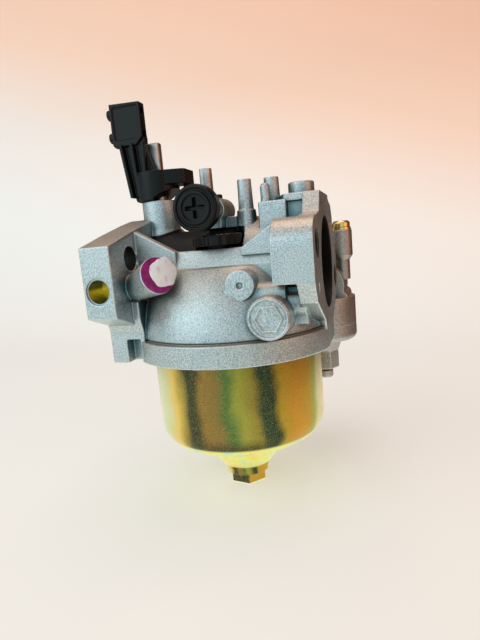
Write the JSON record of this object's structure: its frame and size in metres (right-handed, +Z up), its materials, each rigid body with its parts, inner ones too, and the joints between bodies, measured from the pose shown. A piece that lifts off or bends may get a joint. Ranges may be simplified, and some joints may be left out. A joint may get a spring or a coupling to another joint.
{
  "type": "carburetor",
  "caption": "Side-draught float carburetor for a small engine, with butterfly throttle and choke, float bowl, fuel tap and sediment cup.",
  "frame": {"origin": "centre of the main bore at the face of the engine flange", "axes": "+X along the bore towards the air cleaner, +Y towards the fuel tap side, +Z up"},
  "size_m": [0.0665, 0.0804, 0.1163],
  "materials": {
    "cast_alloy": "fine sandy die casting",
    "zinc_gold": "yellow iridescent zinc plate",
    "gold_screw": "bright yellow plating",
    "black_plastic": "glossy moulded",
    "brass": "machined",
    "steel": "turned",
    "spring_steel": "drawn wire",
    "rubber": "smooth seal",
    "fibre": "fibre gasket",
    "float_plastic": "foam float",
    "white_paint": "white paint mark with a magenta edge",
    "mesh": "fine strainer gauze"
  },
  "bodies": {
    "housing": {"bowl_bolt": "zinc_gold", "bowl_bolt_washer": "zinc_gold", "bowl_gasket": "rubber", "bowl_vent_tube": "cast_alloy", "carburetor_body": "cast_alloy", "choke_shaft_cap": "cast_alloy", "drain_screw": "zinc_gold", "drain_washer": "fibre", "float_bowl": "zinc_gold", "float_pin": "steel", "fuel_inlet_nipple": "steel", "fuel_valve_cover": "steel", "fuel_valve_cover_screws": "gold_screw", "fuel_valve_gasket": "rubber", "fuel_valve_wave_washer": "spring_steel", "main_jet": "brass", "main_nozzle": "brass", "needle_seat": "brass", "passage_plug_screw": "gold_screw", "passage_plug_washer": "gold_screw", "pilot_jet": "black_plastic", "pilot_jet_o_ring": "rubber", "pilot_screw": "brass", "pilot_screw_cap": "white_paint", "pilot_screw_spring": "spring_steel", "sediment_cup": "cast_alloy", "sediment_strainer": "mesh", "side_hole_bush": "brass", "throttle_shaft_seal": "rubber", "throttle_stop_spring": "spring_steel"},
    "throttle": {"throttle_shaft": "steel", "throttle_plate": "brass", "throttle_plate_screws": "steel", "throttle_lever": "black_plastic"},
    "choke": {"choke_shaft": "steel", "choke_plate": "steel", "choke_plate_screws": "steel", "choke_lever": "steel"},
    "float_assembly": {"float": "float_plastic"},
    "needle": {"float_needle": "brass"},
    "fuel_tap": {"fuel_valve_lever": "black_plastic"},
    "stop_screw": {"throttle_stop_screw": "black_plastic"}
  },
  "joints": [
    {"name": "throttle_turn", "type": "hinge", "parent": "housing", "child": "throttle", "pos_m": [0.0096, 0, 0], "axis": [0, 0, 1], "range_deg": [0, 72]},
    {"name": "choke_turn", "type": "hinge", "parent": "housing", "child": "choke", "pos_m": [0.0525, 0, 0], "axis": [0, 0, 1], "range_deg": [0, 75]},
    {"name": "float_hinge", "type": "hinge", "parent": "housing", "child": "float_assembly", "pos_m": [0.03, 0.0195, -0.0193], "axis": [1, 0, 0], "range_deg": [0, 9]},
    {"name": "needle_slide", "type": "slide", "parent": "housing", "child": "needle", "axis": [0, 0, 1], "range_m": [-0.0009, 0.00002]},
    {"name": "fuel_tap_turn", "type": "hinge", "parent": "housing", "child": "fuel_tap", "pos_m": [0.0523, 0.0446, -0.01], "axis": [0, 1, 0], "range_deg": [0, 90]},
    {"name": "stop_screw_turn", "type": "hinge", "parent": "housing", "child": "stop_screw", "pos_m": [0.0288, 0, 0.0168], "axis": [0, 1, 0], "range_deg": [-360, 360]}
  ],
  "couplings": [
    {"joint": "needle_slide", "follows": "float_hinge", "m_per_rad": -0.0054}
  ]
}
